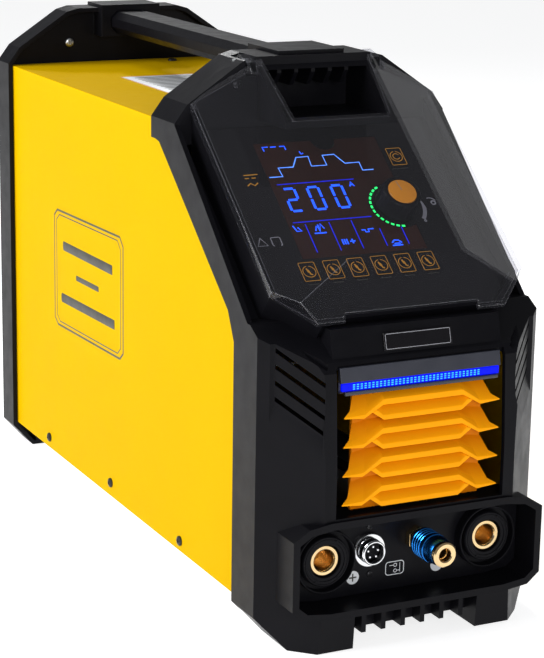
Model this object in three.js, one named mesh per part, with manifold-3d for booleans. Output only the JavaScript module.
// Inverter TIG welding machine: a portable case with a sloped control panel, a flip-up smoked
// cover, a connector recess low on the front and a carrying bar along the top.
//
// Millimetres, +Z up, the front faces -Y, +X is to the right of someone facing the front.
// The pieces are drawn from a datum plane y = 0, the front edge of the sheet cover beside the
// feet, with x = 0 on the centre plane and z = 0 on the ground. The whole group is then moved
// along Y, so that the origin is the middle of the footprint.

import * as THREE from 'three';
import { mergeVertices } from 'three/addons/utils/BufferGeometryUtils.js';
import Module from 'manifold-3d';

const wasm = await Module();
wasm.setup();

// ---------------------------------------------------------------- driving dimensions
const CASE_W = 198;          // over both bezels
const BODY_L = 401.5;        // sheet cover that shows between the bezels
const COVER_TOP = 306;       // top of the sheet cover above the ground
const COVER_LOW = 20;        // its bottom edge
const TOP_Z = 348.5;         // top of both bezels above the ground
const GAP = 0.3;             // clearance between pieces that meet
const WALL = 3.5;            // moulded bezel wall
const SHEET = 1.2;           // folded steel sheet
const SLOPE = 39.2;          // control panel, degrees back from the horizontal
const RIM_PROUD = 4;         // bezels stand this far outside the sheet cover
const REAR_RIM = 24.5;       // depth of the rear bezel's rim
const SOCKET_D = 41;         // welding current socket, over its moulded collar
const SOCKET_BORE = 13;      // bore for the cable plug
const KNOB_D = 27;           // control knob over its grip
const KNOB_H = 14;
const SHAFT_D = 6;           // encoder shaft
const PIN_D = 4;             // hinge pin of the smoked cover
const GLASS = 3;             // wall of the smoked cover
const BAR_W = 32;            // carrying bar
const BAR_H = 16.5;
const FAN_SIZE = 120;
const FAN_DEPTH = 25;
const KEY_W = 11.5;
const KEY_H = 15;
const KEY_PITCH = 16.9;
const COUPLER_D = 19;        // sleeve of the gas coupler
const TORCH_D = 16;          // threaded barrel of the torch control connector

// ---------------------------------------------------------------- values that follow
const HALF = CASE_W / 2;
const PILLAR = HALF - 32;            // outer edge of the front pillars
const OPENING = PILLAR - 7.8;        // half width between the pillars
const TRAY = HALF - 12;              // half width of the raised panel
const COVER_HALF = HALF - RIM_PROUD; // outside of the sheet cover
const INSIDE = COVER_HALF - SHEET - GAP;
const SIDE_IN = COVER_HALF + 0.5;    // inside of the bezels' side walls
const FRONT_Y = -72;                 // front of the pillars
const CORNER_Y = -41;                // where the side bands turn into the oblique faces
const HOOD_Y = -74;                  // rim of the connector recess
const BACK_PLATE = BODY_L + 10;      // front of the rear bezel's plate
const REAR_Y = BODY_L + REAR_RIM;    // rear end of the rim
const CROWN_FRONT = 84;              // the bezel above the smoked cover
const CROWN_REAR = 122;
const SOCKET_X = HALF - 41;
const SOCKET_Z = 55;
const RECESS_HALF = HALF - 15;
const PANEL_Y = -36.3;               // where the panel frame stands
const PANEL_Z = 224.2;
const TILT = THREE.MathUtils.degToRad(SLOPE);
const FASCIA_H = -13;                // face of the control panel in the panel frame
const SEGMENTS = 24;

// ---------------------------------------------------------------- materials
const finish = (color, roughness, metalness = 0) =>
  new THREE.MeshStandardMaterial({ color, roughness, metalness });
const BLACK = finish(0x1d1e21, 0.5);
const GLOSS_BLACK = finish(0x0c0c0e, 0.15);
const YELLOW = finish(0xf6c800, 0.35);
const ORANGE = finish(0xf0a818, 0.4);
const SMOKED = finish(0x222326, 0.08);
const STEEL = finish(0xb9bcc0, 0.35, 0.9);
const CHROME = finish(0xd8dadd, 0.15, 1);
const BRASS = finish(0xc9a14e, 0.28, 1);
const BLUE_METAL = finish(0x1466b8, 0.3, 0.9);
const BLUE_LIGHT = finish(0x1540e0, 0.3);
const ALUMINIUM = finish(0xb4b7ba, 0.45, 0.9);
const BOARD = finish(0x1c5a34, 0.5);
const COPPER = finish(0xb5643a, 0.4, 0.8);
const FERRITE = finish(0x34312f, 0.7);
const GREY = finish(0x6d7076, 0.5);
const CREAM = finish(0xd8d2c0, 0.5);

// ---------------------------------------------------------------- shape helpers
function solidOf(geometry) {
  const bare = geometry.clone();
  bare.deleteAttribute('normal');
  bare.deleteAttribute('uv');
  const merged = mergeVertices(bare, 1e-4);
  return new wasm.Manifold(new wasm.Mesh({
    numProp: 3,
    vertProperties: Float32Array.from(merged.attributes.position.array),
    triVerts: Uint32Array.from(merged.index.array),
  }));
}

const toSolid = (item) => (item.isBufferGeometry ? solidOf(item) : item);
const join = (...items) => items.map(toSolid).reduce((a, b) => a.add(b));
const common = (...items) => items.map(toSolid).reduce((a, b) => a.intersect(b));
const cut = (base, ...tools) => tools.map(toSolid).reduce((a, b) => a.subtract(b), toSolid(base));

function geometryOf(solid) {
  const mesh = solid.getMesh();
  const geometry = new THREE.BufferGeometry();
  geometry.setAttribute('position', new THREE.BufferAttribute(mesh.vertProperties, 3));
  geometry.setIndex(new THREE.BufferAttribute(mesh.triVerts, 1));
  geometry.computeVertexNormals();
  return geometry;
}

function outline(points) {
  return new THREE.Shape(points.map(([a, b]) => new THREE.Vector2(a, b)));
}

// A flat outline pushed along X, Y or Z between two places.
function prismX(points, x0, x1) {
  const geometry = new THREE.ExtrudeGeometry(outline(points), { depth: x1 - x0, bevelEnabled: false });
  const turn = new THREE.Matrix4().makeBasis(
    new THREE.Vector3(0, 1, 0), new THREE.Vector3(0, 0, 1), new THREE.Vector3(1, 0, 0));
  return geometry.applyMatrix4(turn).translate(x0, 0, 0);
}

function prismY(points, y0, y1) {
  const geometry = new THREE.ExtrudeGeometry(outline(points), { depth: y1 - y0, bevelEnabled: false });
  return geometry.rotateX(Math.PI / 2).translate(0, y1, 0);
}

function prismZ(points, z0, z1) {
  return new THREE.ExtrudeGeometry(outline(points), { depth: z1 - z0, bevelEnabled: false })
    .translate(0, 0, z0);
}

function block([x0, x1], [y0, y1], [z0, z1]) {
  return new THREE.BoxGeometry(x1 - x0, y1 - y0, z1 - z0)
    .translate((x0 + x1) / 2, (y0 + y1) / 2, (z0 + z1) / 2);
}

const slab = (half, ys, zs) => block([-half, half], ys, zs);

function rodX(radius, y, z, x0, x1, sides = SEGMENTS) {
  return new THREE.CylinderGeometry(radius, radius, x1 - x0, sides)
    .rotateZ(Math.PI / 2).translate((x0 + x1) / 2, y, z);
}

function rodY(radius, x, z, y0, y1, sides = SEGMENTS) {
  return new THREE.CylinderGeometry(radius, radius, y1 - y0, sides).translate(x, (y0 + y1) / 2, z);
}

function rodZ(radius, x, y, z0, z1, sides = SEGMENTS) {
  return new THREE.CylinderGeometry(radius, radius, z1 - z0, sides)
    .rotateX(Math.PI / 2).translate(x, y, (z0 + z1) / 2);
}

// A turned shape: points are [radius, distance towards the front], the axis runs along -Y.
function turnedFront(points, x, y, z, sides = SEGMENTS) {
  const profile = points.map(([r, d]) => new THREE.Vector2(r, d));
  return new THREE.LatheGeometry(profile, sides).rotateX(Math.PI).translate(x, y, z);
}

// A pocket whose outline grows from the points at the bottom to the points at the top.
function frustum(bottom, top, depth) {
  const flat = THREE.ShapeUtils.triangulateShape(top.map(([a, b]) => new THREE.Vector2(a, b)), []);
  const count = top.length;
  const index = [];
  flat.forEach(([a, b, c]) => {
    index.push(a + count, b + count, c + count, c, b, a);
  });
  for (let i = 0; i < count; i += 1) {
    const next = (i + 1) % count;
    index.push(i, next, next + count, i, next + count, i + count);
  }
  const places = [...bottom.flatMap(([a, b]) => [a, b, 0]), ...top.flatMap(([a, b]) => [a, b, depth])];
  const geometry = new THREE.BufferGeometry();
  geometry.setAttribute('position', new THREE.Float32BufferAttribute(places, 3));
  geometry.setIndex(index);
  return geometry;
}

// Both sides of the centre plane from the points of the right side, listed bottom to top.
function mirrored(points) {
  const left = points.map(([x, z]) => [-x, z]).reverse();
  return [...points, ...left];
}

// Every edge of a closed outline moved inwards by the same distance.
function inset(points, distance) {
  const area = points.reduce((sum, [x, y], i) => {
    const [u, v] = points[(i + 1) % points.length];
    return sum + x * v - u * y;
  }, 0);
  const side = Math.sign(area) * distance;
  const edges = points.map(([x, y], i) => {
    const [u, v] = points[(i + 1) % points.length];
    const length = Math.hypot(u - x, v - y);
    const normal = [-(v - y) / length, (u - x) / length];
    return { at: [x + normal[0] * side, y + normal[1] * side], along: [u - x, v - y] };
  });
  return edges.map((edge, i) => {
    const before = edges[(i + edges.length - 1) % edges.length];
    const [dx, dy] = [edge.at[0] - before.at[0], edge.at[1] - before.at[1]];
    const cross = before.along[0] * edge.along[1] - before.along[1] * edge.along[0];
    const t = (dx * edge.along[1] - dy * edge.along[0]) / cross;
    return [before.at[0] + before.along[0] * t, before.at[1] + before.along[1] * t];
  });
}

// Panel frame: x across, s up the slope, h out of the panel.
const PANEL_MATRIX = new THREE.Matrix4().makeRotationX(TILT).setPosition(0, PANEL_Y, PANEL_Z);
const onPanel = (geometry) => geometry.applyMatrix4(PANEL_MATRIX);

function panelPoint(s, h) {
  const point = new THREE.Vector3(0, s, h).applyMatrix4(PANEL_MATRIX);
  return [point.y, point.z];
}

// ---------------------------------------------------------------- the object
const machine = new THREE.Group();
const panel = new THREE.Group();
panel.applyMatrix4(PANEL_MATRIX);
machine.add(panel);

function part(name, item, material, parent = machine) {
  const geometry = geometryOf(toSolid(item));
  const mesh = new THREE.Mesh(geometry, material);
  mesh.name = name;
  parent.add(mesh);
  return mesh;
}

// Front view of both bezels: feet, chamfered bottom corners, straight sides, chamfered top.
function bezelOutline() {
  return mirrored([
    [HALF - 16, 0], [HALF, 18], [HALF, 308], [HALF - 9, 320], [HALF - 48, TOP_Z - 2.5],
    [HALF - 57, TOP_Z],
  ]);
}

// ------------------------------------------------ front bezel
const BAND_LOW = [[-22, 0], [-22, 12], [-9, 22], [-8, 187], [1, 205]];
const RAIL_LOW = [-30, 200];
const RAIL_TOP = [CROWN_FRONT, 307];

function sideBand() {
  const profile = [
    ...BAND_LOW, [109, 293], [CROWN_REAR, 295], [CROWN_REAR, TOP_Z], [CROWN_FRONT, TOP_Z],
    RAIL_TOP, RAIL_LOW, [CORNER_Y, 192], [CORNER_Y, 0],
  ];
  const band = join(prismX(profile, SIDE_IN, HALF), prismX(profile, -HALF, -SIDE_IN));
  return common(band, prismY(bezelOutline(), -80, CROWN_REAR));
}

function crown() {
  const outside = prismY(bezelOutline(), CROWN_FRONT, CROWN_REAR);
  const inside = prismY(inset(bezelOutline(), WALL), CROWN_FRONT + WALL, CROWN_REAR - WALL);
  const shell = cut(outside, inside);
  return cut(shell, slab(HALF + 1, [CROWN_FRONT - 1, CROWN_REAR + 1], [-1, COVER_TOP - 12]),
    slab(SIDE_IN, [CROWN_FRONT + WALL, CROWN_REAR + 1], [0, COVER_TOP + GAP]));
}

// Recess above the panel for the fingers, under the front edge of the crown.
const GRIP_HALF = 37;
const GRIP_FLOOR = 311;
const GRIP_ROOF = 340;
const GRIP_BACK = 108;

function gripBox() {
  const [lipY, lipZ] = panelPoint(114, 15);
  const back = GRIP_BACK + WALL;
  const low = GRIP_FLOOR - WALL;
  const side = [[lipY, low], [back, low], [back, TOP_Z - 1], [CROWN_FRONT, TOP_Z - 1],
    [CROWN_FRONT, GRIP_ROOF + 3], [lipY, lipZ]];
  return prismX(side, -GRIP_HALF - WALL, GRIP_HALF + WALL);
}

function gripSpace() {
  return prismX([[30, GRIP_FLOOR], [GRIP_BACK, GRIP_FLOOR], [GRIP_BACK, GRIP_ROOF], [30, GRIP_ROOF]],
    -GRIP_HALF, GRIP_HALF);
}

function gripRibs() {
  const pitch = 2 * GRIP_HALF / 6;
  return [1, 2, 3, 4, 5].map((i) => {
    const x = -GRIP_HALF + i * pitch;
    return prismX([[CROWN_FRONT + 1, GRIP_ROOF + 1], [CROWN_FRONT + 1, GRIP_ROOF - 3],
      [CROWN_FRONT + 8, GRIP_ROOF - 12], [GRIP_BACK + 1, GRIP_ROOF - 12], [GRIP_BACK + 1, GRIP_ROOF + 1]],
    x - 1.5, x + 1.5);
  });
}

// The raised tray under the smoked cover, in the panel frame.
function trayOutline(top = 160) {
  return mirrored([[HALF - 50, -22], [HALF - 37, -26], [TRAY, 0], [TRAY, top]]);
}

function tray() {
  const shape = trayOutline();
  const raise = (points, h0, h1) => onPanel(prismZ(points, h0, h1));
  const ring = cut(raise(shape, -31, -5), raise(inset(shape, WALL), FASCIA_H - 2 - GAP, 0),
    raise(inset(shape, 11), -40, 0));
  const inFrontOfCrown = prismX([[-90, 150], [CROWN_FRONT + 1, 150], [CROWN_FRONT + 1, 400], [-90, 400]],
    -HALF, HALF);
  return common(ring, inFrontOfCrown, prismY(bezelOutline(), -90, CROWN_REAR));
}

function channelFloor(side) {
  const across = [side * (TRAY - 1), side * (SIDE_IN + 1)].sort((a, b) => a - b);
  return common(onPanel(block(across, [-8, 158], [-31, -28])),
    slab(HALF, [-60, CROWN_FRONT + 1], [150, 400]));
}

function lowerPlan() {
  return mirrored([[HALF, -9], [HALF, CORNER_Y], [PILLAR, FRONT_Y]]);
}

const LOWER_SIDE = [[-9, -1], [-70, -1], [FRONT_Y, 25], [FRONT_Y, 120], [-68.4, 178], [-65, 184],
  [-31, 203], [-9, 203]];

function lowerBody() {
  const outside = common(prismZ(lowerPlan(), 0, 210), prismX(LOWER_SIDE, -HALF, HALF),
    prismY(bezelOutline(), -90, 0));
  const inside = common(prismZ(inset(lowerPlan(), WALL), 18, 206),
    prismX(inset(LOWER_SIDE, WALL), -SIDE_IN, SIDE_IN));
  const openBack = slab(SIDE_IN, [-16, 0], [18, 199.5]);
  return cut(outside, inside, openBack, slab(SIDE_IN, [-20, 0], [-1, 19]));
}

const BROW_FACE = [[-63.5, 182], [-58, 202.5]];
const BROW_BACK = -47;

function brow() {
  const back = [[BROW_BACK, BROW_FACE[1][1]], [BROW_BACK, BROW_FACE[0][1]]];
  return prismX([...BROW_FACE, ...back], -OPENING, OPENING);
}

// Rounded outlines of the connector recess, seen from the front.
function recessOutline(half) {
  return mirrored([
    [half - 22, 27], [half - 6, 29], [half, 34], [half, 74], [half - 8, 79], [half - 22, 81],
  ]);
}

const RECESS_BACK = -49;

function hood() {
  return prismY(inset(recessOutline(RECESS_HALF), -4.6), HOOD_Y, RECESS_BACK + WALL);
}

const LOUVRE_HALF = OPENING - 8;
const LOUVRE_Z = [97, 164];

function frontOpenings() {
  const recess = prismY(recessOutline(RECESS_HALF), HOOD_Y - 1, RECESS_BACK);
  const through = prismY(inset(recessOutline(RECESS_HALF), 5), RECESS_BACK - 1, -30);
  const louvreSeat = slab(OPENING, [-80, -64], [87, 182]);
  const louvreHole = slab(LOUVRE_HALF, [-80, -50], LOUVRE_Z);
  const betweenFeet = slab(HALF - 55, [-80, -57], [-1, 22]);
  const underside = slab(HALF - 55, [-80, 0], [-1, 8]);
  return [recess, through, louvreSeat, louvreHole, betweenFeet, underside];
}

function apronRibs() {
  const pitch = 14;
  return [-2.5, -1.5, -0.5, 0.5, 1.5, 2.5].map((i) =>
    block([i * pitch - 1.6, i * pitch + 1.6], [-67, -56], [8, 23]));
}

// Each oblique face beside a pillar has a sunk field with slanting air slots. The field is drawn
// flat: first number from the side band towards the pillar, second number the height.
const SLOTS = 5;
const SLOT_PITCH = 10.1;
const SLOT_H = 2.9;
const SLOT_TOP = 191;
const SLOT_FALL = 30;                // degrees, down towards the pillar
const FIELD_DEPTH = 2.2;
const OBLIQUE = Math.atan2(CORNER_Y - FRONT_Y, HALF - PILLAR);
const OBLIQUE_W = Math.hypot(CORNER_Y - FRONT_Y, HALF - PILLAR);

// From the flat drawing onto the left oblique face, third number outwards.
function onOblique(geometry) {
  const turn = new THREE.Matrix4().makeBasis(
    new THREE.Vector3(Math.cos(OBLIQUE), -Math.sin(OBLIQUE), 0),
    new THREE.Vector3(0, 0, 1),
    new THREE.Vector3(-Math.sin(OBLIQUE), -Math.cos(OBLIQUE), 0));
  return geometry.applyMatrix4(turn).translate(-HALF, CORNER_Y, 0);
}

function ventTools() {
  const [left, right] = [OBLIQUE_W * 0.23, OBLIQUE_W - 1.6];
  const fall = Math.tan(THREE.MathUtils.degToRad(SLOT_FALL));
  const middle = (left + right) / 2;
  const lineAt = (a, z) => z - (a - middle) * fall;
  const low = SLOT_TOP - (SLOTS - 1) * SLOT_PITCH;
  const floor = [[left, lineAt(left, low - 4)], [right, lineAt(right, low - 4)],
    [right, lineAt(right, SLOT_TOP + 4)], [left, lineAt(left, SLOT_TOP + 5)]];
  const rim = [[left - 2.6, lineAt(left, low - 17)], [right - 1.5, lineAt(right, low - 19)],
    [right + 0.8, lineAt(right, SLOT_TOP + 6)], [left - 2.6, lineAt(left, SLOT_TOP + 8)]];
  const field = frustum(floor, rim, FIELD_DEPTH + 0.4).translate(0, 0, -FIELD_DEPTH);
  const tools = [onOblique(field)];
  for (let i = 0; i < SLOTS; i += 1) {
    const z = SLOT_TOP - i * SLOT_PITCH;
    const slot = [[left + 0.5, lineAt(left, z - SLOT_H / 2)], [right - 0.5, lineAt(right, z - SLOT_H / 2)],
      [right - 0.5, lineAt(right, z + SLOT_H / 2)], [left + 0.5, lineAt(left, z + SLOT_H / 2)]];
    tools.push(onOblique(prismZ(slot, -WALL - 4, 1)));
  }
  return tools;
}

// The mirror image across the centre plane, with its faces turned out again.
function otherSide(geometry) {
  const turned = geometry.clone().scale(-1, 1, 1);
  if (!turned.index) turned.setIndex([...Array(turned.attributes.position.count).keys()]);
  const index = turned.index.array;
  for (let i = 0; i < index.length; i += 3) {
    [index[i], index[i + 1]] = [index[i + 1], index[i]];
  }
  return turned;
}

function frontBoss() {
  const boss = slab(24, [CROWN_FRONT + 4, CROWN_REAR + 12], [TOP_Z - BAR_H - 4, TOP_Z + 2.5]);
  return cut(boss, slab(26, [CROWN_FRONT, CROWN_REAR - WALL], [300, TOP_Z - 6]));
}

function frontBezel() {
  const body = join(sideBand(), crown(), tray(), channelFloor(1), channelFloor(-1), lowerBody(),
    brow(), hood(), gripBox(), frontBoss());
  const vents = ventTools();
  const hollowed = cut(body, gripSpace(), ...frontOpenings(), ...vents, ...vents.map(otherSide),
    handleBarEnvelope(), ...hingeSpace());
  return join(hollowed, ...gripRibs(), ...apronRibs());
}

// ------------------------------------------------ carrying bar
const BAR_TOP = TOP_Z - 2.8;
const BAR_MID = BAR_TOP - BAR_H / 2;
const BAR_FRONT = CROWN_REAR + GAP;
const BAR_REAR = BACK_PLATE - GAP;

function barSection(grow = 0) {
  const w = BAR_W / 2 + grow;
  const h = BAR_H / 2 + grow;
  const chamfer = 5;
  return [[w, -h + chamfer], [w, h - chamfer], [w - chamfer, h], [-w + chamfer, h], [-w, h - chamfer],
    [-w, -h + chamfer], [-w + chamfer, -h], [w - chamfer, -h]].map(([x, z]) => [x, z + BAR_MID]);
}

function handleBarEnvelope() {
  return prismY(barSection(GAP), BAR_FRONT - GAP, BAR_REAR + GAP);
}

function handleBar() {
  return prismY(barSection(), BAR_FRONT, BAR_REAR);
}

// ------------------------------------------------ rear bezel
const SWITCH = { x: 52, z: 284, half: 11, halfZ: 15 };
const GLAND = { x: -55, z: 285, r: 10 };
const INLET = { x: 58, z: 58, r: 6 };
const FAN_Z = 185;

function rearBezel() {
  const ring = cut(prismY(bezelOutline(), BODY_L, REAR_Y),
    prismY(inset(bezelOutline(), RIM_PROUD - 0.5), BODY_L - 1, REAR_Y + 1));
  const plate = prismY(inset(bezelOutline(), 1), BACK_PLATE, BACK_PLATE + WALL);
  const feet = [1, -1].map((side) => {
    const across = [side * (HALF - 53), side * (HALF - 19)].sort((a, b) => a - b);
    return block(across, [BODY_L, REAR_Y], [0, 14]);
  });
  const boss = slab(24.4, [BODY_L - 6, REAR_Y], [BAR_MID - BAR_H / 2 - 3, TOP_Z + 2.5]);
  const body = join(ring, plate, ...feet, boss);
  const underside = slab(HALF - 55, [BODY_L - 1, REAR_Y + 1], [-1, 8]);
  const closing = slab(HALF - 50, [BODY_L, REAR_Y], [8, 11.5]);
  return cut(join(cut(body, underside), closing), handleBarEnvelope(),
    rodY(FAN_SIZE / 2 - 4, 0, FAN_Z, BACK_PLATE - 1, BACK_PLATE + WALL + 1, 36),
    block([SWITCH.x - SWITCH.half - GAP, SWITCH.x + SWITCH.half + GAP], [BACK_PLATE - 1, REAR_Y - 2],
      [SWITCH.z - SWITCH.halfZ - GAP, SWITCH.z + SWITCH.halfZ + GAP]),
    rodY(GLAND.r + GAP, GLAND.x, GLAND.z, BACK_PLATE - 1, REAR_Y - 2),
    rodY(INLET.r + GAP, INLET.x, INLET.z, BACK_PLATE - 1, REAR_Y - 2));
}

// ------------------------------------------------ sheet cover and base
function bodyCover() {
  const edge = (s) => panelPoint(s, -34);
  const side = [[-15, COVER_LOW], [BODY_L + 8, COVER_LOW], [BODY_L + 8, COVER_TOP], [112, COVER_TOP],
    edge(150), edge(20), [-15, 192]];
  const outside = prismX(side, -COVER_HALF, COVER_HALF);
  const inside = slab(COVER_HALF - SHEET, [-40, BODY_L + 9], [0, COVER_TOP - SHEET]);
  return cut(outside, inside);
}

function basePan() {
  const pan = slab(INSIDE, [-14, BODY_L + 6], [COVER_LOW, COVER_LOW + 26]);
  return cut(pan, slab(INSIDE - SHEET, [-40, BODY_L + 10], [COVER_LOW + SHEET, 60]));
}

// ------------------------------------------------ smoked cover
const LID_TOP = 20;                  // height of the lid's face over the panel frame
const LID_HALF = HALF - 58;          // half width of that face
const LID_EDGE = HALF - 10.4;
const LID_CLEAR = 1.4;               // to the crown, so that the lid's top edge can swing past it
const HINGE = { s: 178.5, h: 9 };
const EAR_X = [GRIP_HALF + WALL + 2, GRIP_HALF + WALL + 8];

function lidOutside(shrink) {
  const across = [[LID_EDGE - shrink, -4.6 - shrink * 9], [LID_EDGE - shrink, 1 - shrink * 0.4],
    [LID_HALF - shrink * 0.4, LID_TOP - shrink]];
  const section = mirrored(across);
  const barrel = new THREE.ExtrudeGeometry(outline(section), { depth: 260, bevelEnabled: false })
    .rotateX(Math.PI / 2).translate(0, 220, 0);
  const alongX = [[-26 + shrink, -40], [-26 + shrink, -2], [-19 + shrink, 3 - shrink * 0.3],
    [4 + shrink * 0.4, LID_TOP - shrink], [4 + shrink * 0.4, LID_TOP + 1], [190, LID_TOP + 1], [190, -40]];
  const profile = prismX(alongX, -HALF, HALF);
  const front = mirrored([[HALF - 50, -26 + shrink], [HALF - 35, -28 + shrink * 1.3],
    [LID_EDGE - shrink * 0.6, -1], [LID_EDGE - shrink * 0.6, 190]]);
  return common(barrel, profile, prismZ(front, -50, 40));
}

function panelCover() {
  const dome = cut(lidOutside(0), lidOutside(GLASS));
  const flat = common(dome, slab(HALF, [-60, 220], [-4.6, 30]));
  const notch = prismZ(mirrored([[GRIP_HALF - 2.5, 118], [GRIP_HALF + 4, 195]]), 0, 40);
  const lipRelief = slab(HALF - 52, [-40, -22], [-20, 30]);
  const body = cut(flat, notch, lipRelief);
  const toWorld = onPanelSolid(body);
  const trimmed = common(toWorld, prismY(inset(bezelOutline(), 0.5), -90, CROWN_FRONT - LID_CLEAR));
  return join(trimmed, ...[1, -1].map(hingeEar));
}

function onPanelSolid(solid) {
  return solidOf(geometryOf(solid).applyMatrix4(PANEL_MATRIX));
}

function hingeEar(side) {
  const [y, z] = panelPoint(HINGE.s, HINGE.h);
  const across = EAR_X.map((x) => side * x).sort((a, b) => a - b);
  const arm = prismX([panelPoint(158, LID_TOP - 1), panelPoint(168, LID_TOP - 1),
    panelPoint(HINGE.s + 3, HINGE.h + 4), panelPoint(HINGE.s + 3, HINGE.h - 4),
    panelPoint(HINGE.s - 4, HINGE.h - 4)], across[0], across[1]);
  const eye = rodX(PIN_D / 2 + 2.6, y, z, across[0], across[1], 24);
  return cut(join(arm, eye), rodX(PIN_D / 2 + GAP / 2, y, z, -HALF, HALF, 24));
}

// Slots in the crown that the ears swing in, and the bore for their pin.
function hingeSpace() {
  const [y, z] = panelPoint(HINGE.s, HINGE.h);
  const slots = [1, -1].map((side) => {
    const across = [side * (EAR_X[0] - 0.7), side * (EAR_X[1] + 0.7)].sort((a, b) => a - b);
    return block(across, [CROWN_FRONT - 1, y + 12], [z - 8, TOP_Z + 5]);
  });
  return [...slots, rodX(PIN_D / 2 + GAP / 2, y, z, -EAR_X[1] - 5, EAR_X[1] + 5, 24)];
}

function hingePin() {
  const [y, z] = panelPoint(HINGE.s, HINGE.h);
  return rodX(PIN_D / 2, y, z, -EAR_X[1] - 4, EAR_X[1] + 4, 24);
}

// ------------------------------------------------ control panel, in the panel frame
const KNOB = { x: 30.5, s: 68 };
const WINDOW = { x: [-50, 39], s: [31.5, 127] };
const KEYS_S = 21;
const KEYS_X = -50;
const SIDE_KEY = { x: 47.5, s: 108 };
const PLATE_T = 2;
const BOARD_H = -28;
const KEY_PROUD = 0.6;
const KNOB_CLEAR = 18.5;

function hole(x, s, radius, h0, h1, sides = SEGMENTS) {
  return rodZ(radius, x, s, h0, h1, sides);
}

function keyPlaces() {
  const row = [0, 1, 2, 3, 4, 5].map((i) => ({ x: KEYS_X + i * KEY_PITCH, s: KEYS_S }));
  return [...row, SIDE_KEY];
}

function keyBlock({ x, s }, grow, h0, h1) {
  const halfW = KEY_W / 2 + grow;
  const halfH = KEY_H / 2 + grow;
  return block([x - halfW, x + halfW], [s - halfH, s + halfH], [h0, h1]);
}

function windowShape(grow, h0, h1) {
  const [x0, x1] = WINDOW.x;
  const [s0, s1] = WINDOW.s;
  const pane = block([x0 - grow, x1 + grow], [s0 - grow, s1 + grow], [h0, h1]);
  return cut(pane, hole(KNOB.x, KNOB.s, KNOB_CLEAR - grow, h0 - 1, h1 + 1, 32),
    hole(0, s1, 8.5 - grow, h0 - 1, h1 + 1));
}

function controlFascia() {
  const plate = prismZ(inset(trayOutline(145), WALL + GAP), FASCIA_H - PLATE_T, FASCIA_H);
  const keys = keyPlaces().map((place) => keyBlock(place, GAP, -20, 0));
  return cut(plate, windowShape(GAP, -20, 0), hole(KNOB.x, KNOB.s, SHAFT_D / 2 + 2, -20, 0), ...keys);
}

function displayModule() {
  const [x0, x1] = WINDOW.x;
  const [s0, s1] = WINDOW.s;
  const under = FASCIA_H - PLATE_T;
  const body = block([x0 + 1, x1 - 1], [s0 + 0.5, s1 - 1], [under - 7, under - GAP]);
  return cut(body, hole(KNOB.x, KNOB.s, 14, -30, 0));
}

function controlBoard() {
  return slab(HALF - 29, [2, 138], [BOARD_H, BOARD_H + 1.6]);
}

const ENCODER_LOW = BOARD_H + 1.6 + GAP;
const SHAFT_BORE = SHAFT_D / 2 + GAP;

function encoderBody() {
  const can = block([KNOB.x - 7, KNOB.x + 7], [KNOB.s - 7, KNOB.s + 7], [ENCODER_LOW, -17.6]);
  const bush = hole(KNOB.x, KNOB.s, SHAFT_BORE + 1.3, -18, FASCIA_H - 0.2);
  return cut(join(can, bush), hole(KNOB.x, KNOB.s, SHAFT_BORE, -21, 0),
    hole(KNOB.x, KNOB.s, 5, ENCODER_LOW + 1.2, -19));
}

function controlKnob() {
  const grip = new THREE.Shape();
  const flutes = 18;
  for (let i = 0; i < flutes * 2; i += 1) {
    const angle = (i / (flutes * 2)) * 2 * Math.PI;
    const radius = KNOB_D / 2 - (i % 2 === 0 ? 0.7 : 0);
    const x = radius * Math.cos(angle);
    const y = radius * Math.sin(angle);
    if (i === 0) grip.moveTo(x, y);
    else grip.lineTo(x, y);
  }
  const skirt = new THREE.ExtrudeGeometry(grip, { depth: KNOB_H - 1.3, bevelEnabled: false })
    .translate(KNOB.x, KNOB.s, FASCIA_H + 0.8);
  const flange = hole(KNOB.x, KNOB.s, KNOB_D / 2 + 0.7, FASCIA_H + 0.8, FASCIA_H + 3);
  return cut(join(skirt, flange), hole(KNOB.x, KNOB.s, SHAFT_BORE, -20, FASCIA_H + KNOB_H - 3.5),
    hole(KNOB.x, KNOB.s, 10.1, FASCIA_H + KNOB_H - 2, 10));
}

function key(place) {
  const cap = keyBlock(place, 0, FASCIA_H - PLATE_T - 1.8, FASCIA_H + KEY_PROUD);
  const flange = keyBlock(place, 1, FASCIA_H - PLATE_T - 1.8, FASCIA_H - PLATE_T - GAP);
  const stem = block([place.x - 2, place.x + 2], [place.s - 2, place.s + 2], [BOARD_H + 2.6, -16]);
  return join(cap, flange, stem);
}

// ------------------------------------------------ front grille, light bar and name plate
function lightBarHolder() {
  const section = [[-64.3, 164.6], [-66.4, 164.6], [-67.4, 165.7], [-65.5, 165.7], [-65.5, 171.3],
    [-68.5, 171.3], [-66.6, 180.5], [-64.3, 180.5]];
  return prismX(section, -OPENING + 3, OPENING - 3);
}

function lightBar() {
  return slab(OPENING - 4, [-68.2, -65.8], [166, 171]);
}

const BLADES = 4;
const BLADE_PITCH = 18.4;
const BLADE_TIP = -71;
const TOP_BLADE_Z = 149.7;
const LIP = 2.6;

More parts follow.
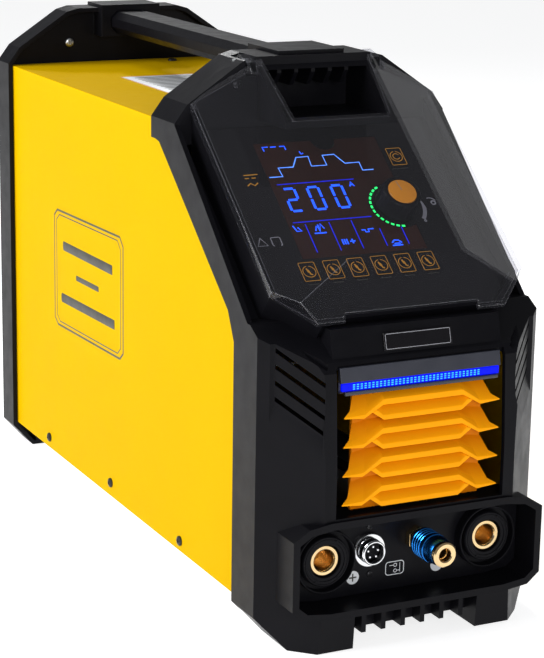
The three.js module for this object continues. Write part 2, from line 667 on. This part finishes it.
function louvreBlade(z) {
  const wing = LOUVRE_HALF + 4.3;
  const arch = [[wing, 0], [35, 1], [27, 8.5]];
  const upper = [...arch, ...arch.map(([x, h]) => [-x, h]).reverse()];
  const lower = upper.map(([x, h]) => [x, h - LIP]).reverse();
  const lip = [...upper, ...lower].map(([x, h]) => [x, h + z]);
  const keel = [[35, 1], [26, -3.5], [-26, -3.5], [-35, 1], [-35, 1 - LIP], [-27.5, -3.5 - LIP],
    [27.5, -3.5 - LIP], [35, 1 - LIP]].map(([x, h]) => [x, h + z]);
  const cell = [[33, 0], [25, 7], [-25, 7], [-33, 0], [-25, -4], [25, -4]].map(([x, h]) => [x, h + z]);
  const web = [[wing - 6, -1], [wing - 6, 2], [-wing + 6, 2], [-wing + 6, -1]].map(([x, h]) => [x, h + z]);
  return [prismY(lip, BLADE_TIP, -64.3), prismY(keel, BLADE_TIP + 0.8, -64.3), prismY(cell, -67, -61),
    prismY(web, -69, -61)];
}

function frontLouvre() {
  const half = LOUVRE_HALF - GAP;
  const backing = slab(half, [-63.6, -60.5], [LOUVRE_Z[0] + GAP, LOUVRE_Z[1] - GAP]);
  const blades = [];
  for (let i = 0; i < BLADES; i += 1) {
    blades.push(...louvreBlade(TOP_BLADE_Z - i * BLADE_PITCH));
  }
  const stiles = [1, -1].map((side) => {
    const across = [side * (half - 6), side * half].sort((a, b) => a - b);
    return block(across, [-66, -60.5], [LOUVRE_Z[0] + GAP, LOUVRE_Z[1] - GAP]);
  });
  return join(backing, ...stiles, ...blades);
}

function namePlate() {
  const [[y0, z0], [y1, z1]] = BROW_FACE;
  const length = Math.hypot(y1 - y0, z1 - z0);
  const along = [(y1 - y0) / length, (z1 - z0) / length];
  const at = (t, out) => [y0 + along[0] * t - along[1] * out, z0 + along[1] * t + along[0] * out];
  return prismX([at(5, GAP), at(16, GAP), at(16, 1.1), at(5, 1.1)], -24, 24);
}

// ------------------------------------------------ connectors
const PANEL_FACE = -52;
const TUBE_R = 5.2;                  // gas coupler's tube
const TORCH_FLANGE = TORCH_D / 2 + 2.8;
const TORCH = { x: -(SOCKET_X - SOCKET_D / 2 - TORCH_FLANGE - 1.4), z: 56.5 };
const COUPLER = { x: TORCH.x + 33.8, z: 60 };
const SOCKET_NECK = SOCKET_D / 2 - 7.5;

function connectorPanel() {
  const plate = prismY(inset(recessOutline(RECESS_HALF), GAP), PANEL_FACE, RECESS_BACK - GAP);
  const sockets = [1, -1].map((side) =>
    rodY(SOCKET_NECK + GAP, side * SOCKET_X, SOCKET_Z, -60, -40));
  return cut(plate, ...sockets, rodY(TORCH_D / 2 + GAP, TORCH.x, TORCH.z, -60, -40),
    rodY(TUBE_R + GAP, COUPLER.x, COUPLER.z, -60, -40));
}

const CONTACT_R = SOCKET_BORE / 2 + 3.7;

function socketBody(side) {
  const collar = SOCKET_D / 2;
  const bore = CONTACT_R + GAP;
  const profile = [[bore, -18], [SOCKET_NECK, -18], [SOCKET_NECK, GAP], [collar, GAP], [collar, 7.2],
    [collar - 0.8, 8], [collar - 3, 8], [collar - 3, 5.3], [bore, 5.3], [bore, -18]];
  return turnedFront(profile, side * SOCKET_X, PANEL_FACE, SOCKET_Z, 28);
}

function socketContact(side) {
  const bore = SOCKET_BORE / 2;
  const profile = [[0, -30], [CONTACT_R, -30], [CONTACT_R, 3.2], [CONTACT_R - 0.8, 4], [bore + 1, 4],
    [bore, 3], [bore, -24], [0, -24]];
  return turnedFront(profile, side * SOCKET_X, PANEL_FACE, SOCKET_Z);
}

function torchShell() {
  const r = TORCH_D / 2;
  const profile = [[r - 1.4, -12], [r, -12], [r, GAP], [TORCH_FLANGE, GAP], [TORCH_FLANGE, 2],
    [r, 2.2], [r, 9], [r - 1.4, 9], [r - 1.4, -12]];
  return turnedFront(profile, TORCH.x, PANEL_FACE, TORCH.z);
}

function torchInsert() {
  const r = TORCH_D / 2 - 1.4 - GAP;
  return turnedFront([[0, -11], [r, -11], [r, 3.5], [0, 3.5]], TORCH.x, PANEL_FACE, TORCH.z, 24);
}

const COUPLER_L = 38;
const SLEEVE = [9.6, 33.5];

function couplerBody() {
  const profile = [[4, -15], [TUBE_R, -15], [TUBE_R, SLEEVE[1] + GAP], [6.8, SLEEVE[1] + GAP],
    [6.8, COUPLER_L - 0.8], [6, COUPLER_L], [4.3, COUPLER_L], [4, COUPLER_L - 1], [4, -15]];
  return turnedFront(profile, COUPLER.x, PANEL_FACE, COUPLER.z, 24);
}

function couplerNut() {
  const nut = rodY(8.1, COUPLER.x, COUPLER.z, PANEL_FACE - 5.6, PANEL_FACE - GAP, 6);
  return cut(nut, rodY(TUBE_R + GAP, COUPLER.x, COUPLER.z, -80, -40, 24));
}

function couplerSleeve() {
  const r = COUPLER_D / 2;
  const [back, front] = SLEEVE;
  const bore = TUBE_R + GAP;
  const profile = [[bore, back], [r - 1, back], [r, back + 1], [r, back + 7], [r - 1, back + 7.6],
    [r - 1, back + 10], [r, back + 10.6], [r, back + 16], [r - 0.8, front - 4], [r - 1.8, front],
    [bore, front], [bore, back]];
  return turnedFront(profile, COUPLER.x, PANEL_FACE, COUPLER.z);
}

// ------------------------------------------------ fan and the rear fittings
const FAN_REAR = BACK_PLATE - GAP;
const FAN_FRONT = FAN_REAR - FAN_DEPTH;
const HUB_R = 19;

function fanFrame() {
  const half = FAN_SIZE / 2;
  const shell = cut(block([-half, half], [FAN_FRONT, FAN_REAR], [FAN_Z - half, FAN_Z + half]),
    rodY(half - 3, 0, FAN_Z, FAN_FRONT - 1, FAN_REAR + 1, 36));
  const motor = rodY(HUB_R - 1, 0, FAN_Z, FAN_REAR - 4, FAN_REAR);
  const struts = [45, 135].map((angle) => new THREE.BoxGeometry(FAN_SIZE - 4, 3, 4)
    .rotateY(THREE.MathUtils.degToRad(angle)).translate(0, FAN_REAR - 1.5, FAN_Z));
  const shaft = rodY(2, 0, FAN_Z, FAN_FRONT + 8, FAN_REAR - 2, 16);
  return join(shell, motor, ...struts, shaft);
}

function fanRotor() {
  const hub = rodY(HUB_R, 0, FAN_Z, FAN_FRONT + 3, FAN_REAR - 4.6);
  const blades = [];
  const count = 7;
  for (let i = 0; i < count; i += 1) {
    const reach = FAN_SIZE / 2 - 5;
    const blade = new THREE.BoxGeometry(reach - HUB_R + 2, 1.8, 21)
      .rotateX(THREE.MathUtils.degToRad(52)).translate((reach + HUB_R - 2) / 2, FAN_FRONT + 11.5, 0);
    blades.push(blade.rotateY((i / count) * 2 * Math.PI).translate(0, 0, FAN_Z));
  }
  return cut(join(hub, ...blades), rodY(2 + GAP, 0, FAN_Z, FAN_FRONT + 7, FAN_REAR, 16));
}

function fanGuard() {
  const y0 = BACK_PLATE + WALL + GAP;
  const ring = (r) => {
    const section = [[r - 1, 0], [r + 1, 0], [r + 1, 2], [r - 1, 2], [r - 1, 0]];
    return turnedFront(section, 0, y0 + 2, FAN_Z, 24);
  };
  const rings = [FAN_SIZE / 2 - 1, 42, 24].map(ring);
  const spokes = [45, 135].map((angle) => new THREE.BoxGeometry(FAN_SIZE + 14, 2, 3)
    .rotateY(THREE.MathUtils.degToRad(angle)).translate(0, y0 + 1, FAN_Z));
  return join(...rings, ...spokes);
}

const PLATE_REAR = BACK_PLATE + WALL;
const ROCKER_PIVOT = PLATE_REAR - 1;

function switchBody() {
  const { x, z, half, halfZ } = SWITCH;
  const body = block([x - half, x + half], [BACK_PLATE - 14, PLATE_REAR + 1], [z - halfZ, z + halfZ]);
  const flange = block([x - half - 2, x + half + 2], [PLATE_REAR + GAP, PLATE_REAR + 2.2],
    [z - halfZ - 2, z + halfZ + 2]);
  const pocket = block([x - half + 2, x + half - 2], [PLATE_REAR - 7, PLATE_REAR + 5],
    [z - halfZ + 2.5, z + halfZ - 2.5]);
  return cut(join(body, flange), pocket);
}

function switchRocker() {
  const { x, z, half } = SWITCH;
  const section = [[-3, -2.5], [2.5, -10.8], [6.2, -10.8], [4, 0], [6.2, 10.8], [2.5, 10.8], [-3, 2.5]];
  const turn = THREE.MathUtils.degToRad(10);
  const tilted = section.map(([y, h]) => [
    ROCKER_PIVOT + y * Math.cos(turn) - h * Math.sin(turn), z + y * Math.sin(turn) + h * Math.cos(turn)]);
  return prismX(tilted, x - half + 2.5, x + half - 2.5);
}

function gasInlet() {
  const { x, z, r } = INLET;
  const stem = rodY(r, x, z, BACK_PLATE - 12, REAR_Y + 2);
  const flange = rodY(r + 3, x, z, PLATE_REAR + GAP, PLATE_REAR + 6, 6);
  const barb = rodY(r - 1.9, x, z, REAR_Y, REAR_Y + 20, 16);
  const ridges = [5, 10, 15].map((d) => new THREE.CylinderGeometry(r - 1, r - 1.8, 4, 16)
    .translate(x, REAR_Y + d, z));
  return cut(join(stem, flange, barb, ...ridges), rodY(2.2, x, z, BACK_PLATE - 13, REAR_Y + 21, 16));
}

const GLAND_BORE = 5;

function cableGland() {
  const { x, z, r } = GLAND;
  const body = join(rodY(r, x, z, BACK_PLATE - 9, PLATE_REAR + 16),
    rodY(r + 3.5, x, z, PLATE_REAR + GAP, PLATE_REAR + 6, 6));
  return cut(body, rodY(GLAND_BORE, x, z, BACK_PLATE - 10, PLATE_REAR + 17, 24));
}

function glandNut() {
  const { x, z, r } = GLAND;
  const y = PLATE_REAR + 6 + GAP;
  const body = join(rodY(r + 3, x, z, y, y + 9, 6), rodY(r + 1.5, x, z, y + 8, y + 13));
  return cut(body, rodY(r + GAP, x, z, y - 1, y + 10), rodY(GLAND_BORE, x, z, y, y + 14, 24));
}

// ------------------------------------------------ inside the case
const DIVIDER_Z = 165;
const SINK_REAR = FAN_FRONT - 40;
const SINK_FRONT = FAN_FRONT - 220;

function dividerPlate() {
  return slab(INSIDE - 2, [4, FAN_FRONT - 12], [DIVIDER_Z, DIVIDER_Z + SHEET]);
}

function heatsink(side) {
  const [inner, outer] = [12, INSIDE - 12];
  const base = [side * inner, side * outer].sort((a, b) => a - b);
  const ys = [SINK_FRONT, SINK_REAR];
  const z0 = DIVIDER_Z + SHEET + GAP;
  const count = 8;
  const fins = [];
  for (let i = 0; i < count; i += 1) {
    const x = base[0] + 1.2 + (i * (base[1] - base[0] - 2.4)) / (count - 1);
    fins.push(block([x - 1.2, x + 1.2], ys, [z0, z0 + 52]));
  }
  return join(block(base, ys, [z0 + 46, z0 + 54]), ...fins);
}

function powerBoard() {
  const z0 = DIVIDER_Z + SHEET + 54 + 2 * GAP;
  return slab(INSIDE - 10, [SINK_FRONT - 10, SINK_REAR + 10], [z0, z0 + 1.6]);
}

const BASE_FLOOR = COVER_LOW + SHEET + GAP;
const CORE_Y = 110;

function transformerCore() {
  const ys = [CORE_Y, CORE_Y + 50];
  const outer = slab(36, ys, [BASE_FLOOR, BASE_FLOOR + 66]);
  const windows = [[-26, -11], [11, 26]].map((across) =>
    block(across, [CORE_Y - 1, CORE_Y + 51], [BASE_FLOOR + 10, BASE_FLOOR + 56]));
  return cut(outer, ...windows);
}

function transformerCoil() {
  const coil = slab(24, [CORE_Y - 12, CORE_Y + 62], [BASE_FLOOR + 11, BASE_FLOOR + 55]);
  return cut(coil, slab(11 + GAP, [CORE_Y - GAP, CORE_Y + 50 + GAP], [0, BASE_FLOOR + 60]));
}

function outputChoke() {
  const section = [[18, 0], [40, 0], [42, 3], [42, 25], [40, 28], [18, 28], [16, 25], [16, 3], [18, 0]];
  return turnedFront(section, 0, FAN_FRONT - 60, BASE_FLOOR + 44, 24);
}

function hfCoil() {
  const section = [[10, 0], [22, 0], [22, 34], [10, 34], [10, 0]];
  return turnedFront(section, 45, 78, 138, 24);
}

function solenoidValve() {
  const body = block([22, 46], [22, 50], [BASE_FLOOR + 20, BASE_FLOOR + 44]);
  const coil = rodZ(13, 34, 36, BASE_FLOOR + 44, BASE_FLOOR + 76, 24);
  return join(body, coil, block([20, 48], [20, 52], [BASE_FLOOR, BASE_FLOOR + 21]));
}

function gasHose() {
  const path = new THREE.CatmullRomCurve3([
    [34, 51, BASE_FLOOR + 32], [38, 72, BASE_FLOOR + 32], [62, 100, BASE_FLOOR + 24],
    [70, 160, BASE_FLOOR + 14], [70, BACK_PLATE - 151.5, BASE_FLOOR + 14],
    [64, BACK_PLATE - 71.5, BASE_FLOOR + 26], [INLET.x, BACK_PLATE - 39.5, INLET.z],
    [INLET.x, BACK_PLATE - 12 - GAP, INLET.z],
  ].map(([x, y, z]) => new THREE.Vector3(x, y, z)));
  const round = new THREE.Shape().absarc(0, 0, 4, 0, 2 * Math.PI);
  return new THREE.ExtrudeGeometry(round, {
    steps: 22, curveSegments: 4, extrudePath: path, bevelEnabled: false,
  });
}

function capacitor(x) {
  const z0 = DIVIDER_Z + SHEET + GAP;
  const y = SINK_FRONT - 66;
  return join(rodZ(17, x, y, z0, z0 + 46, 28), rodZ(16, x, y, z0 + 45, z0 + 48, 28));
}

// ------------------------------------------------ bolts of the carrying bar
function bolt(y0, y1) {
  const towardsHead = Math.sign(y1 - y0);
  const [low, high] = [y0, y1].sort((a, b) => a - b);
  const head = [y1, y1 + towardsHead * 3].sort((a, b) => a - b);
  return join(rodY(3, 0, BAR_MID, low, high, 20), rodY(6, 0, BAR_MID, head[0], head[1], 6));
}

const BOLT_FRONT = [BAR_FRONT + 20, CROWN_REAR - WALL - GAP];
const BOLT_REAR = [BAR_REAR - 20, PLATE_REAR + GAP];

function boltBore([y0, y1]) {
  const [low, high] = [y0, y1].sort((a, b) => a - b);
  return rodY(3 + GAP, 0, BAR_MID, low - 1, high + 1, 20);
}

function boltHeadSpace([, y1], away) {
  const span = [y1, y1 + away].sort((a, b) => a - b);
  return rodY(8, 0, BAR_MID, span[0], span[1], 20);
}

// ---------------------------------------------------------------- assembly
part('front_bezel', cut(frontBezel(), boltBore(BOLT_FRONT), boltHeadSpace(BOLT_FRONT, -7)), BLACK);
part('rear_bezel', cut(rearBezel(), boltBore(BOLT_REAR), boltHeadSpace(BOLT_REAR, 30)), BLACK);
part('body_cover', bodyCover(), YELLOW);
part('base_pan', basePan(), STEEL);
part('handle_bar', cut(handleBar(), boltBore(BOLT_FRONT), boltBore(BOLT_REAR)), BLACK);
part('handle_bolt_front', bolt(...BOLT_FRONT), STEEL);
part('handle_bolt_rear', bolt(...BOLT_REAR), STEEL);
part('panel_cover', panelCover(), SMOKED);
part('cover_hinge_pin', hingePin(), STEEL);

part('control_fascia', controlFascia(), GLOSS_BLACK, panel);
part('display_window', windowShape(0, FASCIA_H - PLATE_T, FASCIA_H - 0.2), GLOSS_BLACK, panel);
part('display_module', displayModule(), BOARD, panel);
part('control_board', controlBoard(), BOARD, panel);
part('encoder_body', encoderBody(), STEEL, panel);
part('encoder_plunger', hole(KNOB.x, KNOB.s, 4, -23.4, -22.4), STEEL, panel);
part('encoder_shaft', hole(KNOB.x, KNOB.s, SHAFT_D / 2, -22.1, FASCIA_H + KNOB_H - 3.8), STEEL, panel);
part('control_knob', controlKnob(), BLACK, panel);
part('knob_cap', hole(KNOB.x, KNOB.s, 9.8, FASCIA_H + KNOB_H - 1.7, FASCIA_H + KNOB_H), ORANGE, panel);
keyPlaces().forEach((place, i) => part(`key_${i + 1}`, key(place), GLOSS_BLACK, panel));

part('light_bar_holder', lightBarHolder(), GREY);
part('light_bar', lightBar(), BLUE_LIGHT);
part('front_louvre', frontLouvre(), ORANGE);
part('name_plate', namePlate(), GREY);
part('connector_panel', connectorPanel(), BLACK);
[['left', -1], ['right', 1]].forEach(([name, side]) => {
  part(`socket_${name}_body`, socketBody(side), BLACK);
  part(`socket_${name}_contact`, socketContact(side), BRASS);
  part(`heatsink_${name}`, heatsink(side), ALUMINIUM);
});
part('torch_connector_shell', torchShell(), CHROME);
part('torch_connector_insert', torchInsert(), BLACK);
part('gas_coupler_body', couplerBody(), BRASS);
part('gas_coupler_nut', couplerNut(), BRASS);
part('gas_coupler_sleeve', couplerSleeve(), BLUE_METAL);

part('fan_frame', fanFrame(), BLACK);
part('fan_rotor', fanRotor(), BLACK);
part('fan_guard', fanGuard(), CHROME);
part('power_switch_body', switchBody(), BLACK);
part('power_switch_rocker', switchRocker(), GREY);
part('gas_inlet', gasInlet(), BRASS);
part('cable_gland', cableGland(), BLACK);
part('cable_gland_nut', glandNut(), BLACK);

part('divider_plate', dividerPlate(), STEEL);
part('power_board', powerBoard(), BOARD);
part('transformer_core', transformerCore(), FERRITE);
part('transformer_coil', transformerCoil(), COPPER);
part('output_choke', outputChoke(), COPPER);
part('hf_coil', hfCoil(), CREAM);
part('solenoid_valve', solenoidValve(), STEEL);
part('gas_hose', gasHose(), BLACK);
part('capacitor_left', capacitor(-45), BLACK);
part('capacitor_right', capacitor(45), BLACK);

const FRONT_END = PANEL_FACE - COUPLER_L;
const REAR_END = REAR_Y + 20;
machine.position.y = -(FRONT_END + REAR_END) / 2;

export default machine;
